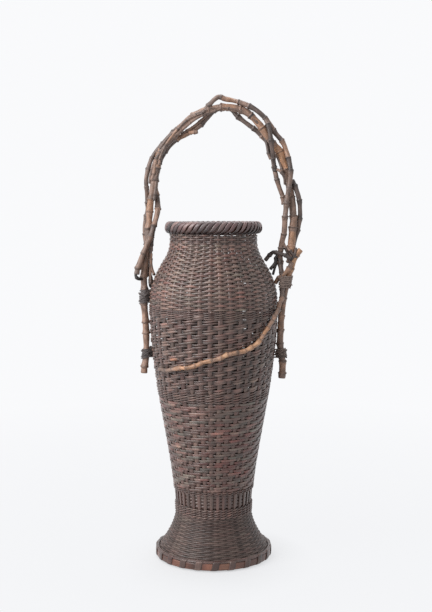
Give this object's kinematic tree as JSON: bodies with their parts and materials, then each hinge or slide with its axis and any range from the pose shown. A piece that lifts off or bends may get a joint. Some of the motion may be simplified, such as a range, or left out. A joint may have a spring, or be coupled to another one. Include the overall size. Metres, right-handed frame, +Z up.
{
  "type": "ikebana basket",
  "caption": "Tall vase-shaped bamboo basket for flower arranging, with woven bands, a braided rim, a flared foot, a twisted rhizome handle and a water tube that lifts out.",
  "frame": {"origin": "under the middle of the object's box, in the plane of the surface that it stands on", "axes": "+Z up, parallel to the basket's axis, +X to the right across the handle, -Y to the front, where the tendril lies"},
  "size_m": [0.1838, 0.1448, 0.5088],
  "materials": {
    "bamboo_weave": "smoked and lacquered split bamboo, satin",
    "bamboo_belt": "smoked and lacquered split bamboo, satin",
    "bamboo_hoop": "lacquered flat bamboo, satin",
    "bamboo_tube": "plain bamboo, matt",
    "rhizome": "oiled bamboo rhizome, satin",
    "rhizome_dark": "oiled bamboo rhizome, satin",
    "tendril": "oiled bamboo rhizome, satin",
    "cord": "twisted dark cord, matt"
  },
  "bodies": {
    "basket": {"foot_hoop_inner": "bamboo_hoop", "foot_skirt": "bamboo_weave", "foot_hoop_outer": "bamboo_hoop", "foot_binding": "bamboo_belt", "waist_belt": "bamboo_belt", "window_band": "bamboo_weave", "window_belt": "bamboo_belt", "lower_twill": "bamboo_weave", "lower_belt": "bamboo_belt", "middle_weave": "bamboo_weave", "upper_belt": "bamboo_belt", "shoulder_weave": "bamboo_weave", "neck_band": "bamboo_weave", "rim_hoop_outer": "bamboo_hoop", "rim_hoop_inner": "bamboo_hoop", "rim_braid": "bamboo_belt", "floor_mat": "bamboo_weave", "floor_splint_upper": "bamboo_hoop", "floor_splint_lower": "bamboo_hoop", "main_stem": "rhizome", "outer_stem": "rhizome_dark", "inner_stem": "rhizome", "left_stem": "rhizome_dark", "right_stem": "rhizome_dark", "right_branch": "rhizome_dark", "leg_stem": "rhizome", "left_root": "rhizome", "tie_root": "rhizome_dark", "thin_root": "rhizome_dark", "front_tendril": "tendril", "lashing_left_upper": "cord", "lashing_left_lower": "cord", "lashing_right_upper": "cord", "lashing_right_lower": "cord"},
    "tube": {"water_tube": "bamboo_tube"}
  },
  "joints": [
    {"name": "tube_lift", "type": "slide", "parent": "basket", "child": "tube", "axis": [0, 0, 1], "range_m": [0, 0.12]}
  ]
}
